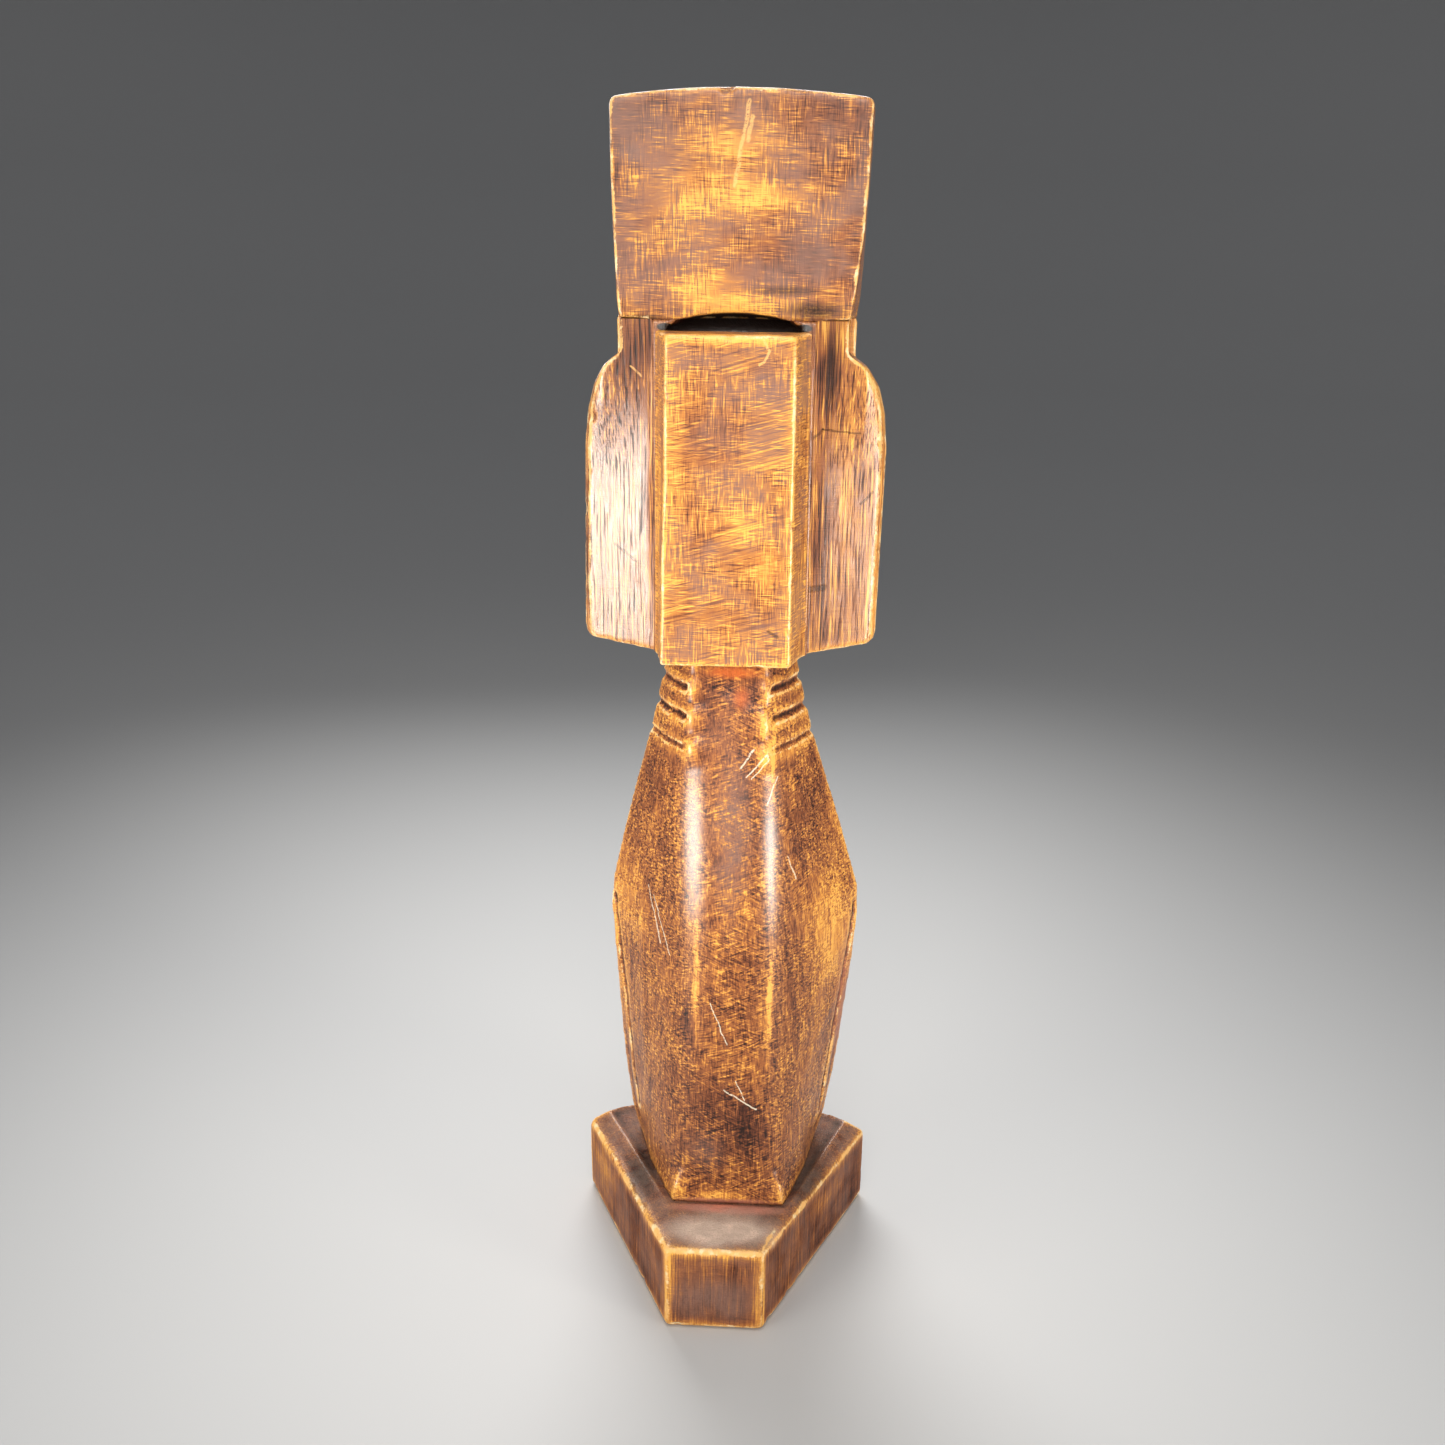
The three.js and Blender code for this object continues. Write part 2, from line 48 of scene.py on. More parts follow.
CAMERA_AT = Vector((-20.9, 427.4, 344.0)) * MM
CAMERA_LOOK = Vector((0.0494, -0.9437, -0.3272))
CAMERA_ROLL = math.radians(0.6)
CAMERA_LENS = 36.05
SENSOR_WIDTH = 36.0
SKY = (0.95, 0.96, 1.0, 1)
SKY_STRENGTH = 0.30
WHITE = (1, 1, 1)
WARM = (1.0, 0.965, 0.92)
GLARE = (1.0, 0.96, 0.87)
SOFT_BOX_SPREAD = math.radians(70)
FLOOR_GREY = (0.46, 0.46, 0.455, 1)
FLOOR_ROUGHNESS = 0.7
# Radius and height in metres of the rings of the pale floor, which curves up into a wall all around.
SWEEP = ((1, 0), (2, 0), (2.6, 0.03), (3.1, 0.16), (3.6, 0.45), (3.9, 0.9), (4, 1.5), (4, 2.6))
SWEEP_SIDES = 96


def make_camera():
    data = bpy.data.cameras.new("camera")
    data.sensor_width = SENSOR_WIDTH
    data.lens = CAMERA_LENS
    camera = bpy.data.objects.new("camera", data)
    bpy.context.scene.collection.objects.link(camera)
    look = CAMERA_LOOK.normalized()
    right = look.cross(Vector((0, 0, 1))).normalized()
    up = right.cross(look)
    turn = Matrix.Rotation(CAMERA_ROLL, 3, -look)
    axes = Matrix((turn @ right, turn @ up, -look)).transposed().to_4x4()
    camera.matrix_world = Matrix.Translation(CAMERA_AT) @ axes
    bpy.context.scene.camera = camera


def soft_box(name, at_mm, aim_mm, size_mm, power, colour=WHITE):
    data = bpy.data.lights.new(name, "AREA")
    data.shape = "RECTANGLE"
    data.size, data.size_y = size_mm[0] * MM, size_mm[1] * MM
    data.energy = power
    data.spread = SOFT_BOX_SPREAD
    data.color = colour
    lamp = bpy.data.objects.new(name, data)
    lamp.location = Vector(at_mm) * MM
    aim = Vector(aim_mm) * MM - lamp.location
    lamp.rotation_euler = aim.to_track_quat("-Z", "Y").to_euler()
    bpy.context.scene.collection.objects.link(lamp)


def make_studio():
    """A pale sky and five soft boxes: two keys that glance over the back, a fill, a top and a front."""
    bpy.context.scene.view_settings.view_transform = "Standard"
    world = bpy.data.worlds.new("studio")
    bpy.context.scene.world = world
    world.use_nodes = True
    background = world.node_tree.nodes["Background"]
    background.inputs["Color"].default_value = SKY
    background.inputs["Strength"].default_value = SKY_STRENGTH
    soft_box("key_left", (480, 370, 140), (0, 0, 235), (360, 190), 0.85, GLARE)
    soft_box("key_right", (-520, 330, 140), (0, 0, 235), (160, 190), 0.62, GLARE)
    soft_box("fill", (0, 560, 520), (0, 0, 270), (300, 200), 0.40, WARM)
    soft_box("top", (0, 150, 900), (0, 0, 150), (700, 700), 0.8)
    soft_box("front", (150, -700, 600), (0, 0, 200), (600, 600), 2.2)
    make_floor()


def make_floor():
    work = bmesh.new()
    angles = [2 * math.pi * k / SWEEP_SIDES for k in range(SWEEP_SIDES)]
    rings = [
        [work.verts.new((radius * math.cos(a), radius * math.sin(a), height)) for a in angles]
        for radius, height in SWEEP
    ]
    work.faces.new(rings[0])
    for low, high in zip(rings, rings[1:]):
        for k in range(SWEEP_SIDES):
            after = (k + 1) % SWEEP_SIDES
            work.faces.new((low[k], high[k], high[after], low[after]))
    mesh = bpy.data.meshes.new("studio_floor")
    work.to_mesh(mesh)
    work.free()
    mesh.polygons.foreach_set("use_smooth", [True] * len(mesh.polygons))
    floor = bpy.data.objects.new("studio_floor", mesh)
    bpy.context.scene.collection.objects.link(floor)
    surface = bpy.data.materials.new("studio_floor")
    surface.use_nodes = True
    shader = surface.node_tree.nodes["Principled BSDF"]
    shader.inputs["Base Color"].default_value = FLOOR_GREY
    shader.inputs["Roughness"].default_value = FLOOR_ROUGHNESS
    mesh.materials.append(surface)


# ---------------------------------------------------------------- node trees

BLOB_CORE = 0.15  # share of a blob's radius inside which it is full
STROKE_CORE = 0.35  # the same for a scratch
STROKE_FLATNESS = 0.015  # how much depth counts in the distance to a scratch


class Tree:
    """A short way to write a shader node tree: a call adds what it needs and returns the output."""

    def __init__(self, material):
        material.use_nodes = True
        self.tree = material.node_tree
        self.shader = self.tree.nodes["Principled BSDF"]

    def put(self, socket, value):
        if isinstance(value, bpy.types.NodeSocket):
            self.tree.links.new(value, socket)
        elif value is not None:
            socket.default_value = value

    def fill(self, node, values):
        for socket, value in zip(node.inputs, values):
            self.put(socket, value)

    def math(self, operation, a, b):
        node = self.tree.nodes.new("ShaderNodeMath")
        node.operation = operation
        self.fill(node, (a, b))
        return node.outputs[0]

    def total(self, *terms):
        """The sum of the terms. A term is a socket, a number, or a (socket, factor) pair."""
        whole = None
        for term in terms:
            part = self.math("MULTIPLY", *term) if isinstance(term, tuple) else term
            whole = part if whole is None else self.math("ADD", whole, part)
        return whole

    def vector(self, operation, a, b=None):
        node = self.tree.nodes.new("ShaderNodeVectorMath")
        node.operation = operation
        self.fill(node, (a, b))
        return node.outputs["Value" if operation in ("LENGTH", "DOT_PRODUCT") else "Vector"]

    def times(self, vector, factors):
        return self.vector("MULTIPLY", vector, factors)

    def place(self):
        """Position in the piece's own space, in millimetres, which at rest is the shared frame."""
        node = self.tree.nodes.new("ShaderNodeTexCoord")
        return self.times(node.outputs["Object"], (1 / MM,) * 3)

    def split(self, vector):
        node = self.tree.nodes.new("ShaderNodeSeparateXYZ")
        self.put(node.inputs[0], vector)
        return node.outputs

    def join(self, x, y, z):
        node = self.tree.nodes.new("ShaderNodeCombineXYZ")
        self.fill(node, (x, y, z))
        return node.outputs[0]

    def noise(self, vector, scale=1.0, detail=2.0, roughness=0.5, output="Fac"):
        node = self.tree.nodes.new("ShaderNodeTexNoise")
        self.put(node.inputs["Vector"], vector)
        for name, value in (("Scale", scale), ("Detail", detail), ("Roughness", roughness)):
            node.inputs[name].default_value = value
        return node.outputs[output]

    def streaks(self, place, degrees, pitch, stretch):
        """Noise drawn out along a direction; 0 degrees is level and 90 is upright. pitch is the
        width of a streak in mm and stretch is how many times longer it is."""
        x, y, z = self.split(place)
        c, s = math.cos(math.radians(degrees)), math.sin(math.radians(degrees))
        along = self.total((x, c / stretch), (z, s / stretch))
        across = self.total((x, -s), (z, c))
        depth = self.math("MULTIPLY", y, abs(s) + abs(c) / stretch)
        return self.noise(self.join(along, depth, across), 1 / pitch)

    def drift(self, vector, scale, amount):
        """The vector moved about by slow noise, so that nothing runs dead straight."""
        shift = self.vector("SUBTRACT", self.noise(vector, scale, output="Color"), (0.5, 0.5, 0.5))
        return self.vector("ADD", vector, self.times(shift, (amount,) * 3))

    def attribute(self, name):
        node = self.tree.nodes.new("ShaderNodeAttribute")
        node.attribute_name = name
        return node.outputs["Fac"]

    def normal(self):
        return self.split(self.tree.nodes.new("ShaderNodeNewGeometry").outputs["Normal"])

    def step(self, value, off, on):
        """0 at `off`, 1 at `on`, and smooth between; either may be the larger."""
        node = self.tree.nodes.new("ShaderNodeMapRange")
        node.interpolation_type = "SMOOTHSTEP"
        self.put(node.inputs["Value"], value)
        ends = (off, on, 0.0, 1.0) if off < on else (on, off, 1.0, 0.0)
        for name, end in zip(("From Min", "From Max", "To Min", "To Max"), ends):
            node.inputs[name].default_value = end
        return node.outputs["Result"]

    def ramp(self, value, stops):
        node = self.tree.nodes.new("ShaderNodeValToRGB")
        self.put(node.inputs["Fac"], value)
        elements = node.color_ramp.elements
        while len(elements) < len(stops):
            elements.new(0.5)
        for element, (at, colour) in zip(elements, stops):
            element.position = at
            element.color = (*colour, 1)
        return node.outputs["Color"]

    def mix(self, factor, a, b):
        node = self.tree.nodes.new("ShaderNodeMix")
        node.data_type = "RGBA"
        self.put(node.inputs["Factor"], factor)
        for name, value in (("A", a), ("B", b)):
            socket = next(s for s in node.inputs if s.name == name and s.type == "RGBA")
            self.put(socket, (*value, 1) if isinstance(value, tuple) else value)
        return next(s for s in node.outputs if s.type == "RGBA")

    def blob(self, place, centre, radii):
        """1 at the centre of an ellipsoid, falling smoothly to 0 at its surface."""
        offset = self.times(self.vector("SUBTRACT", place, centre), [1 / r for r in radii])
        return self.step(self.vector("LENGTH", offset), 1.0, BLOB_CORE)

    def stroke(self, place, start, end, width):
        """A fine scratch from one point to another; depth (Y) counts for little."""
        flatten = (1, STROKE_FLATNESS, 1)
        a, b = Vector(start) * Vector(flatten), Vector(end) * Vector(flatten)
        run = b - a
        offset = self.vector("SUBTRACT", self.times(place, flatten), tuple(a))
        along = self.vector("DOT_PRODUCT", offset, tuple(run))
        along = self.math("DIVIDE", along, run.length_squared)
        along = self.math("MINIMUM", self.math("MAXIMUM", along, 0.0), 1.0)
        node = self.tree.nodes.new("ShaderNodeVectorMath")
        node.operation = "SCALE"
        node.inputs[0].default_value = tuple(run)
        self.put(node.inputs["Scale"], along)
        gap = self.vector("LENGTH", self.vector("SUBTRACT", offset, node.outputs[0]))
        return self.step(gap, width, width * STROKE_CORE)

    def highest(self, values):
        result = values[0]
        for value in values[1:]:
            result = self.math("MAXIMUM", result, value)
        return result

    def bump(self, height_mm):
        node = self.tree.nodes.new("ShaderNodeBump")
        node.inputs["Strength"].default_value = 1.0
        node.inputs["Distance"].default_value = MM
        self.put(node.inputs["Height"], height_mm)
        return node.outputs["Normal"]


# ---------------------------------------------------------------- stained wood

BLACKENED = (0.016, 0.008, 0.006)
DARK = (0.050, 0.017, 0.011)
BROWN = (0.140, 0.044, 0.020)
RED_BROWN = (0.290, 0.098, 0.034)
ORANGE = (0.54, 0.215, 0.046)
GOLD = (0.86, 0.43, 0.085)
EDGE_GOLD = (0.88, 0.50, 0.17)
GLINT_CREAM = (0.90, 0.72, 0.42)
BLOOM = (0.25, 0.145, 0.115)
DUST = (0.20, 0.15, 0.12)
PALE_DUST = (0.74, 0.55, 0.43)
CHALK = (0.92, 0.82, 0.64)
ROSE = (0.36, 0.13, 0.085)
PINK = (0.56, 0.21, 0.14)
SCARLET = (0.52, 0.115, 0.022)

# From the full stain to bare wood, by how far the stain is worn through.
WEAR = (
    (0.0, BLACKENED), (0.16, DARK), (0.35, BROWN), (0.54, RED_BROWN), (0.75, ORANGE), (1.0, GOLD),
)

# Noise: features per mm, detail and roughness.
CLOUDS = (0.026, 5, 0.6)
MOTTLE = (0.15, 5, 0.65)
GRIT = (1.5, 3, 0.7)
HAZE = (0.05, 3)
RUBBING = (0.06, 2)
EDGE_SLOW = (0.13, 3)
EDGE_QUICK = (1.3, 2)
EDGE_TINT = (0.3, 3)
ELSEWHERE = (90, 30, 10)  # sets the rubbing apart from the other noise, in mm

# Drift: features per mm, and how far things are moved about in mm.
STRAIGHT = (0.05, 0.9)
LOOSE = (0.06, 2.5)
WAVY = (0.09, 7.0)
WILD = (0.06, 18.0)
SHAKY = (0.3, 1.2)
SMALL_PATCH = 4  # a patch with a smaller radius than this, in mm, stays in its place
SMALL_STAIN = 5
BOW = 0.0042  # how far the smeared lines sink away from the middle, in mm per square mm

DARK_SCRATCH = 0.2  # a scratch at least this deep, in mm, is dark, and the others are pale
DUST_FROM, DUST_FULL = 0.55, 0.9  # how far a face looks up where dust begins to lie, and lies in full


def chipped(t, place, edge_mm, edge):
    """1 along the worn edges, with a ragged outline that is wider where edge is larger."""
    slow, quick = t.noise(place, *EDGE_SLOW), t.noise(place, *EDGE_QUICK)
    ragged = t.total(edge_mm, (slow, 3.4 * edge), (quick, 1.3), -1.7 * edge - 0.65)
    return t.math("MULTIPLY", t.step(ragged, edge, 0.25 * edge), t.step(edge_mm, 2.6, 1.5))


def stained(t, colour, stains, level, fine, place, wavy):
    """The colour under the stains; BLOOM, a haze of wax, doesn't show where the wood is bare."""
    for centre, radii, tint, amount in stains:
        where = place if min(radii) < SMALL_STAIN else wavy
        cover = t.math("MULTIPLY", t.math("MULTIPLY", t.blob(where, centre, radii), fine), amount)
        if tint == BLOOM:
            cover = t.math("MULTIPLY", cover, t.step(level, 0.95, 0.45))
        colour = t.mix(t.math("MINIMUM", cover, 1.0), colour, tint)
    return colour


def scratched(t, colour, heights, scratches, tint, place, grit):
    """The colour under the scratches, each of which is also cut into the relief."""
    shaky = t.drift(place, *SHAKY)
    pale = []
    for start, end, width, depth in scratches:
        line = t.math("MULTIPLY", t.stroke(shaky, start, end, width), t.step(grit, 0.32, 0.5))
        heights.append((line, -depth))
        if depth < DARK_SCRATCH:
            pale.append(line)
        else:
            colour = t.mix(t.math("MULTIPLY", line, 0.5), colour, BLACKENED)
    if pale:
        colour = t.mix(t.math("MULTIPLY", t.highest(pale), 0.65), colour, tint)
    return colour


def wood(
    name, tone=0.5, cloud=0.5, blotch=0.45, speck=0.3, weave=0.7, slant=0.0, ticks=0.0, grain=0.0,
    grain_from=None, smear=0.0, edge=1.0, rim=0.2, deep=0.8, veil=0.0, dust=0.0, gloss=0.34, shine=0.5,
    ior=1.5, coat=0.4, coat_rough=0.27, scratch_tint=EDGE_GOLD, patches=(), stains=(), scratches=(),
    dull=(), rubbed=(),
):
    """Stained, waxed and worn wood. Places, radii, widths and depths are in mm.

    tone: how far the stain is worn through, from 0 to 1.
    cloud, blotch, speck: how much that varies in large, middling and tiny spots.
    weave, slant, ticks, grain, smear: how much of each kind of fine line there is.
    grain_from: the height at which the grain has faded out, and the one at which it is full.
    edge, rim: the width of the chipped edges, and how much the wood beside them is worn.
    deep, veil, dust: painted shade that darkens the hollows, waxy haze on the stained parts, and dust on
    what looks up.
    gloss, shine, ior: roughness and reflection of the wood.
    coat, coat_rough: amount and roughness of the wax.
    patches are (centre, radii, change of tone), stains are (centre, radii, colour, amount) and
    scratches are (start, end, width, depth). dull places, (centre, radii), have no wax, and
    rubbed ones, (centre, radii, amount), have more.
    """
    material = bpy.data.materials.new(name)
    t = Tree(material)
    place = t.place()
    loose, wild, wavy = t.drift(place, *LOOSE), t.drift(place, *WILD), t.drift(place, *WAVY)
    straight = t.drift(place, *STRAIGHT)
    x, y, z = t.split(loose)
    clouds, mottle, grit = t.noise(wild, *CLOUDS), t.noise(loose, *MOTTLE), t.noise(place, *GRIT)
    rubbing = t.noise(t.vector("ADD", place, ELSEWHERE), *RUBBING)
    level_on, upright_on = t.step(mottle, 0.36, 0.56), t.step(rubbing, 0.36, 0.58)
    edge_mm, crest, hollow = t.attribute("edge_mm"), t.attribute("crest"), t.attribute("hollow")
    core = chipped(t, place, edge_mm, edge)

    # Noise is 0.5 on average, so half of every share comes off again.
    shares = [(clouds, 1.1 * cloud), (mottle, blotch), (grit, 0.24 * speck)]
    terms = [tone - sum(share for _, share in shares) / 2, *shares]
    heights = [(mottle, 0.10), (grit, 0.035 * speck + 0.01)]

    def hatch(angle, pitch, stretch, amount, mask=None, depth=0.03, source=straight):
        """Pale and dark lines drawn out along an angle, in the tone and in the relief."""
        lines = t.streaks(source, angle, pitch, stretch)
        pale, dark = t.step(lines, 0.54, 0.66), t.step(lines, 0.46, 0.34)
        both = t.math("SUBTRACT", pale, dark)
        if mask is not None:
            both = t.math("MULTIPLY", both, mask)
        terms.append((both, amount))
        heights.append((both, depth))
        return dark

    pores = None
    if weave:
        hatch(1, 0.4, 16, 0.25 * weave, level_on, 0.035)
        hatch(90, 0.4, 16, 0.23 * weave, upright_on, 0.035)
    if slant:
        hatch(-15, 0.5, 36, 0.22 * slant, t.step(rubbing, 0.58, 0.46), 0.05)
    if ticks:
        hatch(-18, 0.55, 7, 0.27 * ticks, level_on)
        hatch(26, 0.55, 7, 0.22 * ticks, upright_on)
        hatch(88, 0.55, 9, 0.17 * ticks)
        hatch(87, 3.4, 7, 0.10 * ticks, source=loose)
    if grain:
        grain_on = t.step(z, *grain_from) if grain_from else None
        pores = hatch(90, 0.5, 36, 0.24 * grain, grain_on, 0.10)
        hatch(89, 1.5, 30, 0.08 * grain, grain_on, 0.04)
    if smear:
        bowed = t.join(x, y, t.total(z, (t.math("MULTIPLY", x, x), BOW)))
        hatch(0, 1.5, 9, 0.15 * smear, source=bowed)
        hatch(2, 4.5, 5, 0.13 * smear, depth=0.0, source=bowed)

    beside_edge = t.step(t.total(edge_mm, (mottle, 7.0), -3.5), 4.2, 0.6)
    # Worn brighter beside the edges and on the crests; the hollows are made darker, which is painted
    # shade.
    terms += [(beside_edge, rim * edge), (crest, 0.28), (hollow, -0.5)]
    for centre, radii, change in patches:
        where = loose if min(radii) < SMALL_PATCH else wavy
        terms.append((t.blob(where, centre, radii), change))
    level = t.total(*terms)

    colour = t.ramp(level, WEAR)
    if veil:
        hazy = t.math("MULTIPLY", t.step(t.noise(wild, *HAZE), 0.36, 0.64), veil)
        colour = t.mix(t.math("MULTIPLY", hazy, t.step(level, 1.0, 0.45)), colour, BLOOM)
    fine = t.total(-0.15, (grit, 1.0), (mottle, 1.1))
    colour = stained(t, colour, stains, level, fine, place, wavy)
    # Painted shade: the hollows are darkened towards black.
    colour = t.mix(t.math("MULTIPLY", t.step(hollow, 0.2, 0.85), deep), colour, BLACKENED)
    if dust:
        up = t.step(t.normal()[2], DUST_FROM, DUST_FULL)
        settled = t.math("MULTIPLY", up, t.step(mottle, 0.3, 0.6))
        colour = t.mix(t.math("MULTIPLY", settled, dust), colour, DUST)
    # The worn edges are bare gold wood, with cream spots on them that are painted glints.
    bare_gold_and_glint = t.mix(t.step(t.noise(place, *EDGE_TINT), 0.48, 0.66), EDGE_GOLD, GLINT_CREAM)
    colour = t.mix(t.math("MULTIPLY", core, 0.85), colour, bare_gold_and_glint)
    if scratches:
        colour = scratched(t, colour, heights, scratches, scratch_tint, place, grit)

    matt = t.highest([t.blob(loose, centre, radii) for centre, radii in dull]) if dull else 0.0
    roughness = t.total(
        gloss - 0.13, (mottle, 0.16), (grit, 0.10), (core, 0.10), (hollow, 0.25), (level_on, 0.04),
        (matt, 0.25),
    )
    wax = t.total(coat, (crest, 0.5), *[(t.blob(loose, c, radii), more) for c, radii, more in rubbed])
    if pores is not None:
        wax = t.math("MULTIPLY", wax, t.total(1.0, (pores, -0.85)))
    if dull:
        wax = t.math("MULTIPLY", t.total(1.0, (matt, -1.0)), wax)
    for socket, value in (
        ("Base Color", colour), ("Roughness", roughness), ("IOR", ior), ("Specular IOR Level", shine),
        ("Coat Weight", wax), ("Coat Roughness", coat_rough), ("Normal", t.bump(t.total(*heights))),
    ):
        t.put(t.shader.inputs[socket], value)
    return material


# ---------------------------------------------------------------- shaping

WELD = 0.01 * MM
FLAT = math.radians(1)
SHARP = math.radians(24)
EDGE_STEP = 0.3 * MM  # between the points that stand for a sharp edge
SEAM = 0.45 * MM  # an edge this near another node is a joint, not a worn edge
SIMPLE_JOINERY = ("dowel", "peg")

# From here on in mm.
EDGE_REACH = 12.0  # edge_mm counts no further than this
RIDGE_REACH = 20.0  # a soft ridge eases the surface no further away than this
RIDGE_LIMIT = 40.0  # the distance to a ridge counts no further than this
RIDGE_FADE = 9  # over this distance the softness fades out again
JOINT_REACH = 10.0
CLOSED_GAP = 1.05  # a joint up to this wide is closed to a hairline
NICK_RADIUS = (0.7, 2.6)
NICK_DEPTH = (0.15, 0.6)
UNEVEN = 0.22  # how deep the slow unevenness of the faces goes
FULL_HOLLOW = 0.35  # a bend this deep, over a few vertices, is a full hollow
FULL_CREST = 0.3
# And as shares.
SNAP = 0.62  # a vertex this near a hidden edge, in voxels, moves onto it
MEETING = 0.485  # each block covers this much of a closed joint, which leaves the hairline


def is_joinery(name):
    return any(word in name for word in SIMPLE_JOINERY)


def numbers(collection, key, width):
    out = np.empty(len(collection) * width)
    collection.foreach_get(key, out)
    return out.reshape(-1, width)


def rise(value, start, width):
    """0 up to start, 1 from start + width on, and straight between."""
    return np.clip((value - start) / width, 0, 1)


class Shape:
    """Vertex positions of a mesh with the sums over neighbours that smoothing needs."""

    def __init__(self, mesh):
        self.mesh = mesh
        self.co = numbers(mesh.vertices, "co", 3)
        pairs = np.empty(len(mesh.edges) * 2, dtype=np.int64)
        mesh.edges.foreach_get("vertices", pairs)
        a, b = pairs.reshape(-1, 2).T
        self.near, self.far = np.concatenate([a, b]), np.concatenate([b, a])
        self.count = np.bincount(self.near, minlength=len(self.co)).clip(1)

    def mean(self, values):
        if values.ndim == 1:
            return np.bincount(self.near, values[self.far], len(self.co)) / self.count
        return np.stack([self.mean(values[:, k]) for k in range(values.shape[1])], axis=1)

    def smooth(self, values, times, amount=0.6):
        for _ in range(times):
            values = values + amount * (self.mean(values) - values)
        return values

    def normals(self):
        self.write()
        return numbers(self.mesh.vertex_normals, "vector", 3)

    def dent(self, at_mm, radius_mm, depth_mm, inward):
        reach = np.linalg.norm(self.co - np.array(at_mm) * MM, axis=1) / (radius_mm * MM)
        self.co += inward * (np.clip(1 - reach ** 2, 0, 1) ** 2 * depth_mm * MM)[:, None]

    def write(self):
        self.mesh.vertices.foreach_set("co", self.co.ravel())
        self.mesh.update()


def cad_tree(nodes):
    """One search tree over several CAD nodes."""
    points, faces = [], []
    for name in nodes:
        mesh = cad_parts[name].data
        base = len(points)
        points.extend(v.co.copy() for v in mesh.vertices)
        faces.extend([base + i for i in p.vertices] for p in mesh.polygons)
    return BVHTree.FromPolygons(points, faces)


def point_tree(points):
    tree = kdtree.KDTree(len(points))
    for i, point in enumerate(points):
        tree.insert(point, i)
    tree.balance()
    return tree


def sharp_points(node, is_ridge):
    """Points along the CAD solid's outside corners: the worn edges, the soft ridges that is_ridge
    picks out, and the hidden edges, which lie in a joint and stay crisp."""
    others = cad_tree([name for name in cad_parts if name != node])
    work = bmesh.new()
    work.from_mesh(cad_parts[node].data)
    bmesh.ops.remove_doubles(work, verts=work.verts, dist=WELD)
    bmesh.ops.dissolve_limit(work, angle_limit=FLAT, verts=work.verts, edges=work.edges)
    edges, ridges, hidden = [], [], []
    for e in work.edges:
        if len(e.link_faces) != 2 or e.calc_face_angle_signed(0) < SHARP:
            continue
        a, b = (v.co for v in e.verts)
        for k in np.linspace(0, 1, max(2, int((b - a).length / EDGE_STEP))):
            point = a.lerp(b, k)
            if others.find_nearest(point, SEAM)[0] is not None:
                hidden.append(tuple(point))
            elif is_ridge and is_ridge(a, b):
                ridges.append(tuple(point))
            else:
                edges.append(tuple(point))
    work.free()
    return edges, ridges, hidden


def distance_to(points, co, limit=EDGE_REACH):
    """Distance in mm from every vertex to the nearest of the points."""
    if not points:
        return np.full(len(co), limit)
    tree = point_tree(points)
    return np.array([min(limit, tree.find(p)[2] / MM) for p in co])


def snapped(co, points, reach_mm):
    """The vertices, with those that lie close to one of the points moved onto it."""
    if not points:
        return co
    tree = point_tree(points)
    out = co.copy()
    for i, p in enumerate(co):
        point, _, distance = tree.find(p)
        if distance < reach_mm * MM:
            out[i] = point
    return out


def nearest_in_joint(node, co):
    """For every vertex, the nearest point of the neighbouring blocks and how far it is in mm."""
    tree = cad_tree([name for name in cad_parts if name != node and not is_joinery(name)])
    points, gap = co.copy(), np.full(len(co), JOINT_REACH)
    for i, p in enumerate(co):
        point, _, _, distance = tree.find_nearest(p, JOINT_REACH * MM)
        if point is not None:
            points[i], gap[i] = point, distance / MM
    return points, gap


def waves(co, size_mm, seed):
    """Smooth noise from -1 to 1 over the vertices, with features of about that size."""
    shift = Vector((seed * 13.7, seed * 5.1, seed * 9.3))
    scale = 1 / (size_mm * MM)
    return np.array([noise.noise(Vector(p) * scale + shift) for p in co])


def remeshed(node, name, voxel):
    """The CAD node as an even mesh, with faces about one voxel (in mm) wide."""
    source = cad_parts[node]
    whole = bpy.data.objects.new(f"{name}_raw", source.data.copy())
    bpy.context.scene.collection.objects.link(whole)
    weld = whole.modifiers.new("weld", "WELD")
    weld.merge_threshold = WELD
    remesh = whole.modifiers.new("remesh", "REMESH")
    remesh.mode = "VOXEL"
    remesh.voxel_size = voxel * MM
    graph = bpy.context.evaluated_depsgraph_get()
    mesh = bpy.data.meshes.new_from_object(whole.evaluated_get(graph))
    bpy.data.objects.remove(whole)
    mesh.name = name
    mesh.materials.clear()
    return mesh


def eased(s, edges, ridges, gap, soften, ridge_soften):
    """The vertices with their corners rounded, and with the surface beside the ridges much softer."""
    crisp = s.smooth(s.co, soften)
    if not ridges:
        return crisp
    soft = s.smooth(s.co, ridge_soften)
    beside_ridge = rise(-distance_to(ridges, s.co, RIDGE_LIMIT), -RIDGE_REACH, RIDGE_FADE)
    share = rise(distance_to(edges, s.co), 1.5, 5) * beside_ridge * rise(gap, 1, RIDGE_FADE)
    share = s.smooth(share, 8)[:, None]
    return crisp * (1 - share) + soft * share


def worn_down(s, worn, nicks, dents, seed):
    """Makes the faces uneven and puts nicks along the worn edges."""
    inward = -s.normals()
    swell = waves(s.co, 22, seed) * 0.6 + waves(s.co, 7, seed + 3) * 0.3 + 0.5
    s.co += inward * (swell * UNEVEN * MM)[:, None]
    rng = np.random.default_rng(seed)
    for _ in range(nicks if worn else 0):
        at = np.array(worn[rng.integers(len(worn))]) / MM
        s.dent(at, rng.uniform(*NICK_RADIUS), rng.uniform(*NICK_DEPTH), inward)
    for dent in dents:
        s.dent(*dent, inward)


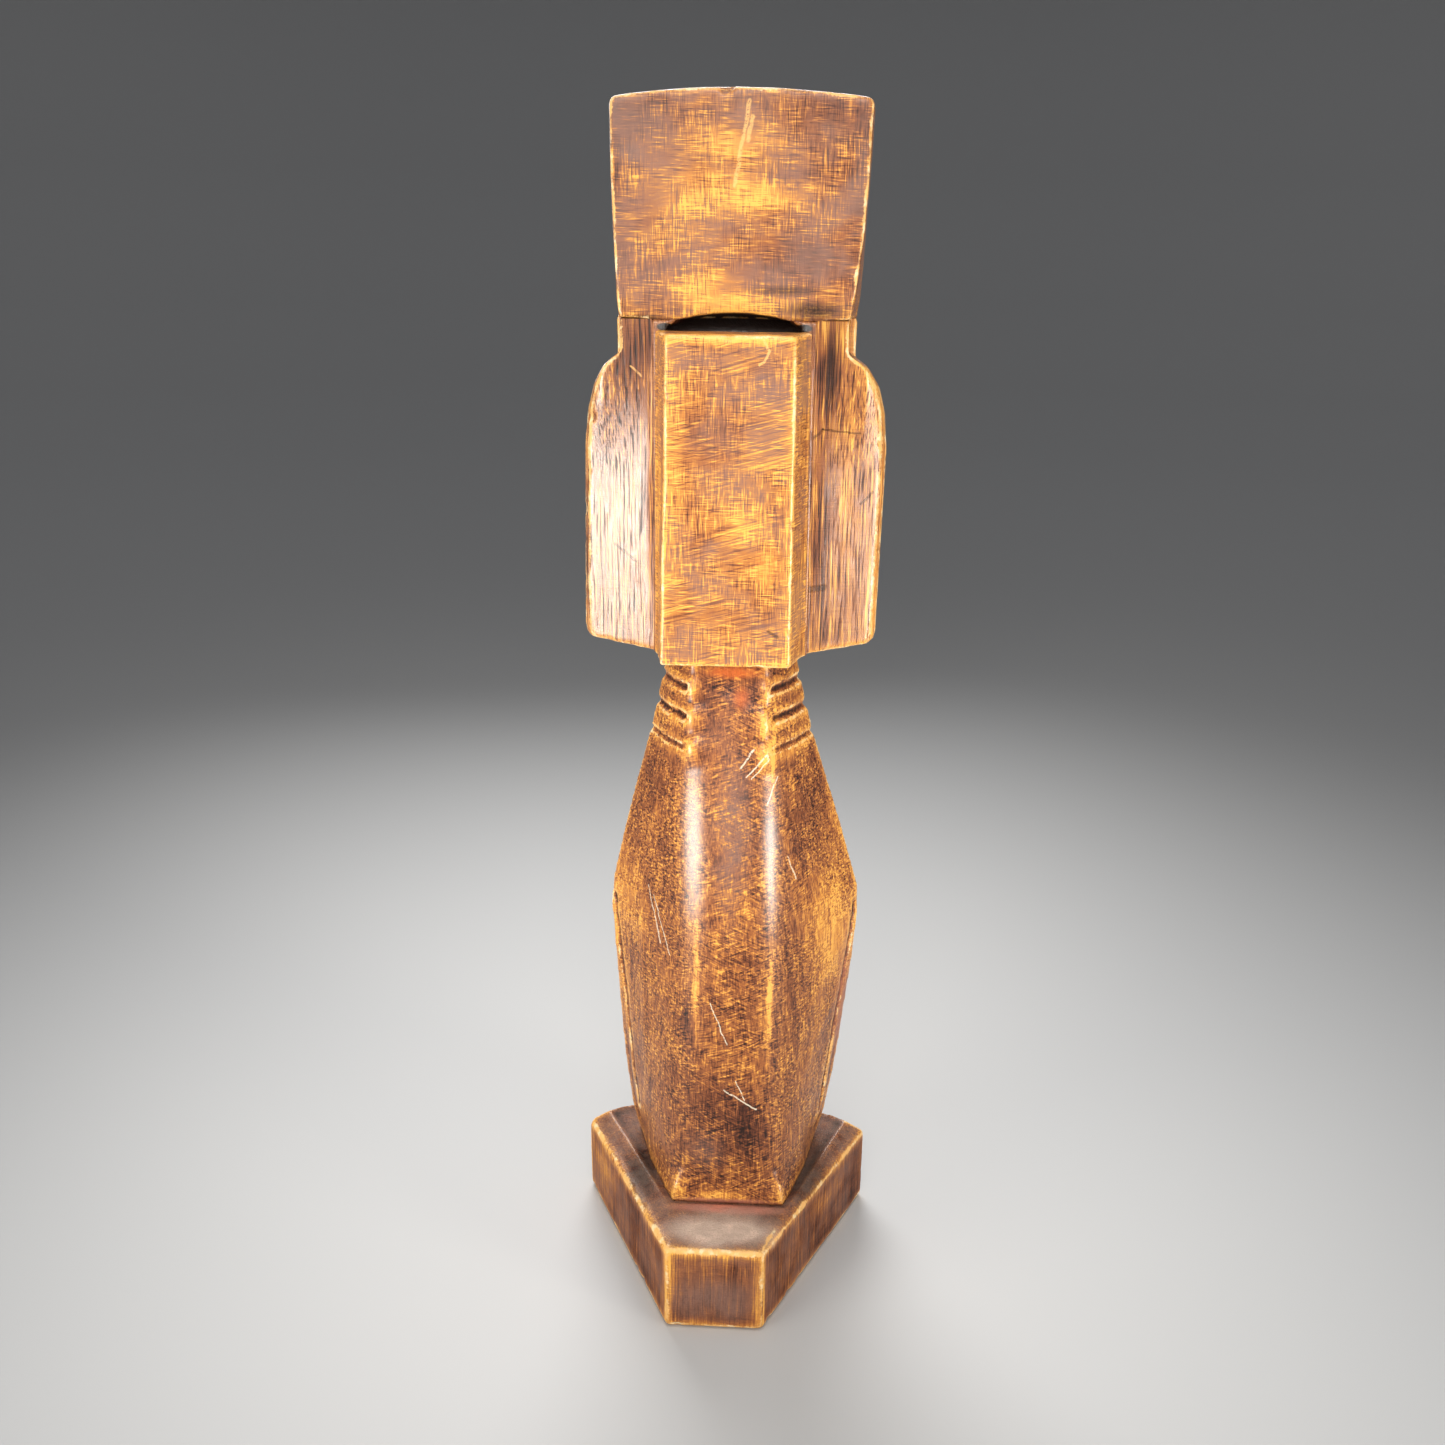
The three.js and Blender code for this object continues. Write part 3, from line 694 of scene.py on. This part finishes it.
def carved(node, material, voxel, seed, soften=2, ridge_soften=0, is_ridge=None, nicks=14,
           dents=(), shape=None, quiet=None):
    """The hand-finished piece that stands for a CAD node. voxel is in mm, and so are the dents,
    (place, radius, depth). is_ridge picks out the edges that are soft, quiet the points of an
    edge that aren't worn, and shape changes the finished form."""
    name = f"{node}_carved"
    mesh = remeshed(node, name, voxel)
    piece = bpy.data.objects.new(name, mesh)
    bpy.context.scene.collection.objects.link(piece)
    s = Shape(mesh)
    edges, ridges, hidden = sharp_points(node, is_ridge)
    raw = snapped(s.co.copy(), hidden, SNAP * voxel)
    joint, gap = nearest_in_joint(node, raw)
    free = s.smooth(rise(gap, 0.5, 1.6), 1)
    worn = [p for p in edges if not quiet(p)] if quiet else edges
    edge_mm = distance_to(worn, s.co)
    s.co = eased(s, edges, ridges, gap, soften, ridge_soften)
    worn_down(s, worn, nicks, dents, seed)

    s.co = raw * (1 - free[:, None]) + s.co * free[:, None]
    touching = gap < CLOSED_GAP
    s.co[touching] += (joint[touching] - raw[touching]) * MEETING
    if shape:
        shape(s)
    s.co[:, 2] = np.maximum(s.co[:, 2], 0)

    normals = s.normals()
    bend = ((s.smooth(s.co, 10) - s.co) * normals).sum(axis=1) / MM
    bend = s.smooth(bend, 1) * free
    hollow, crest = rise(bend, 0, FULL_HOLLOW), rise(-bend, 0, FULL_CREST)
    for key, values in (("edge_mm", edge_mm), ("hollow", hollow), ("crest", crest)):
        mesh.attributes.new(key, "FLOAT", "POINT").data.foreach_set("value", values.astype(np.float32))
    s.write()
    mesh.polygons.foreach_set("use_smooth", [True] * len(mesh.polygons))
    mesh.materials.append(material)
    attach(piece, "root")
    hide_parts(node)


# ---------------------------------------------------------------- the figure

make_camera()
make_studio()

# The shade in the gap between the crown and the slab, painted black onto both of the blocks that it runs
# into.
CAVITY_PAINTED_SHADE = ((0, -23, 314), (30, 9.2, 9), BLACKENED, 6.0)


def back_ridge(a, b):
    """The long upright ridges between the faces of the body's back and sides."""
    run = b - a
    return abs(run.z) > 0.8 * run.length and run.length > 6 * MM and min(a.y, b.y) > -14 * MM


def cavity_lip(point):
    """The edges inside the dark gap."""
    x, y, z = (c / MM for c in point)
    return abs(x) < 22 and y > -20 and 310 < z < 322


def rim_inside(point):
    """The raised ridge around the foot, which is rubbed pink, and the edges on the floor."""
    return point[2] > 31.4 * MM or point[2] < 1.0 * MM


def flap_top(s):
    """The back of a flap swings round into the plane of the crown towards its top."""
    y, z = s.co[:, 1] / MM, s.co[:, 2] / MM
    up = rise(z, 268, 42)
    blend = 0.85 * up * up * (3 - 2 * up) * rise(y, -24, 4)
    s.co[:, 1] += blend * np.minimum(0, y + 14.4) * -MM


def crown_side(s):
    """The right side of the crown leans in towards the front, so little of it shows from behind."""
    x, y, z = s.co.T / MM
    lean = 0.3 + np.clip((y + 30) / 14, -1, 1)
    s.co[:, 0] -= lean * rise(-x, 18, 14) * rise(z, 319, 24) * MM


def slab_root(s):
    """The slab spreads a little where it grows out of the head."""
    x, y, z = s.co.T / MM
    spread = 0.62 * np.exp(-((y + 13.9) / 1.6) ** 2) * rise(np.abs(x), 21, 1.5)
    s.co[:, 0] += np.sign(x) * spread * MM


# Dark and dusty, chipped all along its outer edges.
carved(
    "plinth",
    wood(
        "plinth_stain", tone=0.385, cloud=0.7, speck=1.2, weave=0.25, grain=0.8, edge=0.95, veil=0.35,
        dust=0.4, gloss=0.46, shine=0.08, ior=1.4, coat=0.0,
        patches=(
            ((48, -8, 20), (14, 26, 12), 0.36), ((-42, 10, 20), (20, 40, 10), 0.26),
            ((30, 30, 10), (14, 16, 16), -0.14), ((0, 46, 12), (24, 6, 20), -0.10),
            ((50, 0, 0), (40, 60, 8), -0.16), ((-40, 0, 2), (40, 60, 8), -0.12),
        ),
        stains=(
            ((-3, 23, 32), (26, 4, 3), PINK, 1.6), ((-2, 34, 31.5), (26, 12, 6), PALE_DUST, 1.5),
            ((28, 6, 31), (9, 28, 5), BLACKENED, 0.8), ((-30, 6, 31), (9, 28, 5), BLACKENED, 0.7),
            ((2, 45, 12), (20, 5, 13), BLOOM, 0.7),
        ),
    ),
    voxel=0.85, nicks=60, quiet=rim_inside, seed=2,
)
# Worn through in short crossed strokes, brightest at the elbows.
carved(
    "body",
    wood(
        "body_stain", tone=0.50, cloud=0.50, blotch=0.22, speck=0.9, weave=0.2, ticks=1.0, edge=0.6,
        deep=0.75, gloss=0.35, shine=0.12, coat=0.34, coat_rough=0.31, scratch_tint=CHALK,
        patches=(
            ((36, -5, 126), (14, 40, 28), 0.28), ((-36, -5, 118), (14, 40, 40), 0.28),
            ((-12, 0, 184), (4.5, 30, 24), 0.10), ((0, 20, 60), (30, 40, 26), -0.12),
            ((0, 20, 33.5), (12, 14, 3), 0.4), ((0, 14, 200), (13, 24, 13), -0.34),
            ((22, 0, 200), (8, 30, 13), -0.14), ((-23, 0, 200), (8, 30, 13), -0.14),
            ((0, 24, 32), (30, 8, 9), -0.16), ((-30, -8, 170), (10, 30, 26), -0.16),
            ((26, -8, 178), (8, 30, 20), -0.10), ((8.5, 10, 110), (1.7, 20, 30), 0.42),
            ((-15.5, 10, 104), (1.7, 20, 30), 0.45), ((-4, 10, 174), (6, 20, 10), -0.2),
            ((-14.8, 0, 184), (1.3, 30, 26), 0.36), ((-4, 10, 185), (9, 20, 12), -0.12),
            ((12, 14, 92), (6, 20, 16), -0.16), ((-10, 14, 60), (8, 20, 20), -0.14),
            ((-2, 12, 196), (3, 20, 6), 0.22),
        ),
        stains=(
            ((-1, -10, 209.5), (12, 14, 3.0), SCARLET, 1.0),
            ((-4, -4, 201.5), (4, 14, 5), SCARLET, 0.9), ((-2, 20, 31.5), (24, 12, 1.5), ROSE, 1.1),
            ((4, 0, 190), (9, 20, 10), BLOOM, 0.2), ((-2, 10, 162), (9, 30, 44), BLOOM, 0.7),
            ((6, 22, 50), (10, 12, 12), BLOOM, 0.35), ((-41, -22, 88), (7, 9, 44), ROSE, 0.7),
        ),
        scratches=(
            ((-4.2, 0, 179.8), (-8.4, 0, 185.5), 0.4, 0.1),
            ((-6.4, 0, 177.2), (-12.4, 0, 184), 0.35, 0.1),
            ((-8, 0, 176.5), (-13.5, 0, 182.6), 0.3, 0.1), ((-13, 5, 168), (-16, 5, 176), 0.35, 0.1),
            ((26, 5, 135), (21, 5, 118), 0.35, 0.1), ((24, 5, 133), (18, 5, 116), 0.26, 0.1),
            ((-1.3, 18, 73.6), (-12, 18, 66.4), 0.35, 0.1), ((-5, 18, 77), (-8, 18, 70), 0.28, 0.1),
            ((4, 14, 104), (-2, 14, 90), 0.28, 0.1), ((-20, 5, 150), (-23, 5, 142), 0.28, 0.1),
        ),
        rubbed=(((10, 0, 156), (8, 40, 40), 0.9), ((-15, 0, 154), (5, 40, 36), 0.7)),
    ),
    voxel=0.85, soften=3, ridge_soften=420, is_ridge=back_ridge, nicks=10, seed=3,
)
# Painted black with the shade of the gap below the crown, where it borders that gap.
carved(
    "head",
    wood(
        "head_stain", tone=0.50, weave=0.4, grain=0.5,
        stains=(
            # The gap's painted shade, with a short painted tail of it at each end of the gap.
            CAVITY_PAINTED_SHADE, ((-20.5, -14, 314.4), (3.4, 5, 1.5), BLACKENED, 3.0),
            ((20.5, -14, 314.4), (3.4, 5, 1.4), BLACKENED, 3.0),
        ),
    ),
    voxel=0.7, soften=3, quiet=cavity_lip, seed=4,
)
# Worn in bands, with crossed sanding lines above and upright grain below.
carved(
    "crown",
    wood(
        "crown_stain", tone=0.57, cloud=0.26, blotch=0.30, weave=1.15, grain=0.5, grain_from=(330, 318),
        smear=0.4, edge=0.85, rim=-0.10, deep=0.35, veil=0.6, gloss=0.38, shine=0.28, ior=1.42,
        coat=0.1,
        patches=(
            ((2, -14, 354), (21, 40, 20), 0.12), ((36, -14, 348), (9, 40, 40), -0.12),
            ((-36, -14, 345), (8, 40, 40), -0.12), ((7, -14, 351), (26, 40, 9), 0.20),
            ((-12, -14, 351), (18, 40, 7), 0.18), ((3, -14, 365), (20, 40, 6), 0.20),
            ((14, -14, 343), (10, 40, 10), 0.14), ((10, -14, 326), (20, 40, 5), 0.10),
            ((-3, -14, 321.5), (24, 40, 4.5), 0.28), ((12, -14, 325), (18, 40, 8), 0.16),
            ((-20, -14, 333), (20, 40, 12), -0.20), ((27, -14, 374), (16, 40, 9), -0.16),
            ((-29, -14, 372), (18, 40, 11), -0.18), ((22, -14, 328), (12, 40, 8), -0.08),
        ),
        stains=(
            ((31, -14, 362), (7, 40, 5), BLOOM, 0.6), ((-20, -14, 334), (17, 40, 9), BLOOM, 0.25),
            ((8, -14, 334), (14, 40, 4), BLOOM, 0.3), ((-26, -14, 366), (12, 40, 8), BLOOM, 0.2),
            ((-23, -14, 319.6), (13, 40, 3.6), BLACKENED, 0.85),
            ((-15, -14, 325), (15, 40, 2.2), BLACKENED, 0.6),
            ((27, -14, 317), (8, 40, 1.2), BLACKENED, 0.7), CAVITY_PAINTED_SHADE,
        ),
        scratches=(
            ((-3.7, -14, 376.3), (0.3, -14, 353.9), 0.8, 0.05),
            ((-4.4, -14, 372), (-3.4, -14, 366), 0.9, 0.05),
        ),
    ),
    voxel=0.75, soften=3, quiet=cavity_lip,
    dents=(((2.9, -14.2, 380), 2.4, 1.5), ((1.6, -15, 379.6), 1.4, 0.8)), shape=crown_side, seed=5,
)
# Pale, with long slanting lines and bright sides.
carved(
    "hair_slab",
    wood(
        "slab_stain", tone=0.645, cloud=0.28, blotch=0.30, weave=1.1, slant=1.0, edge=0.75, rim=0.06,
        veil=0.65, gloss=0.38, shine=0.28, ior=1.42, coat=0.1,
        patches=(
            ((-4, 1, 258), (11, 20, 9), 0.18), ((-11, 1, 246), (6, 20, 10), 0.22),
            ((16, 1, 268), (4, 20, 50), 0.14), ((-12, 1, 300), (9, 20, 10), -0.12),
            ((0, 1, 222), (18, 20, 6), 0.10), ((3, 1, 283), (12, 20, 10), -0.12),
            ((0, 1, 312), (24, 20, 3), 0.2), ((23.4, -7, 262), (2.6, 9, 60), 0.42),
            ((-23.4, -7, 262), (2.6, 9, 60), 0.1),
        ),
        stains=(
            ((4, 1, 284), (11, 20, 8), BLOOM, 0.4), ((-8, 1, 297), (10, 20, 8), BLOOM, 0.35),
            ((4, 1, 306), (12, 20, 5), BLOOM, 0.4), ((-11, 1, 246), (4.5, 20, 8), SCARLET, 0.3),
        ),
        scratches=(
            ((-9, 2, 312), (-11, 2, 309), 0.5, 0.05), ((-11, 2, 309), (-9.5, 2, 306), 0.5, 0.05),
            ((-9.5, 2, 306), (-8, 2, 305), 0.5, 0.05), ((-15, 2, 224), (-12.5, 2, 226), 0.7, 0.25),
        ),
    ),
    voxel=0.7, soften=4, nicks=20, shape=slab_root, seed=6,
)
# Upright grain under a glossy wax, which is dull in the corner with the slab.
carved(
    "side_flap_left",
    wood(
        "flap_stain_left", tone=0.49, cloud=0.16, blotch=0.15, weave=0.2, grain=1.5, edge=0.8, rim=0.08,
        gloss=0.33, coat=0.8,
        patches=(
            # The lighter patch at (33, -14, 250) is painted highlight where the glare of the left key
            # falls.
            ((30, -14, 306), (14, 20, 14), -0.14), ((33, -14, 250), (12, 20, 40), 0.12),
            ((46.5, -22, 243), (2.6, 12, 22), -0.3),
        ),
        scratches=(
            ((30, -14, 243), (37, -14, 248), 0.5, 0.25), ((28, -14, 300), (31, -14, 303), 0.4, 0.05),
        ),
        dull=(((24.6, -16, 265), (2.6, 9, 70)), ((30, -14, 312), (24, 20, 20))),
    ),
    voxel=0.7, soften=5, shape=flap_top, seed=7,
)
# The same, with a dark streak near the top and a few deep scratches.
carved(
    "side_flap_right",
    wood(
        "flap_stain_right", tone=0.58, cloud=0.16, blotch=0.2, weave=0.2, grain=1.4, edge=0.8, rim=0.08,
        gloss=0.34, shine=0.3, coat=0.45,
        patches=(
            ((-29, -14, 302), (5, 20, 18), -0.34), ((-28.5, -14, 250), (3.4, 20, 44), -0.2),
            ((-35, -14, 262), (4, 20, 40), 0.2), ((-27, -14, 228), (6, 20, 16), -0.14),
        ),
        stains=(((-29, -14, 302), (3, 20, 18), BLACKENED, 0.7),),
        scratches=(
            ((-23.9, -14, 282), (-27, -14, 285), 0.5, 0.25),
            ((-27, -14, 285), (-38.5, -14, 283.5), 0.4, 0.25),
            ((-24.5, -14, 235.7), (-29, -14, 235.9), 1.3, 0.3),
            ((-40, -16, 262), (-43, -16, 265), 0.6, 0.25),
        ),
        dull=(((-25.5, -16, 265), (4.5, 9, 70)), ((-30, -14, 312), (24, 20, 20))),
    ),
    voxel=0.7, soften=5, shape=flap_top, seed=8,
)


def raw_dowel():
    """Unstained wood with its fibres running upright."""
    material = bpy.data.materials.new("raw_dowel")
    t = Tree(material)
    fibres = t.noise(t.times(t.place(), (1.8, 1.8, 0.08)), 1.0, detail=3)
    colour = t.ramp(fibres, ((0.3, (0.36, 0.21, 0.10)), (0.7, (0.60, 0.42, 0.23))))
    t.put(t.shader.inputs["Base Color"], colour)
    t.put(t.shader.inputs["Roughness"], t.total(0.6, (fibres, 0.3)))
    t.put(t.shader.inputs["Normal"], t.bump(t.total((fibres, 0.08))))
    return material


dowel_wood = raw_dowel()
for name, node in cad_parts.items():
    if is_joinery(name):
        node.data.materials.clear()
        node.data.materials.append(dowel_wood)
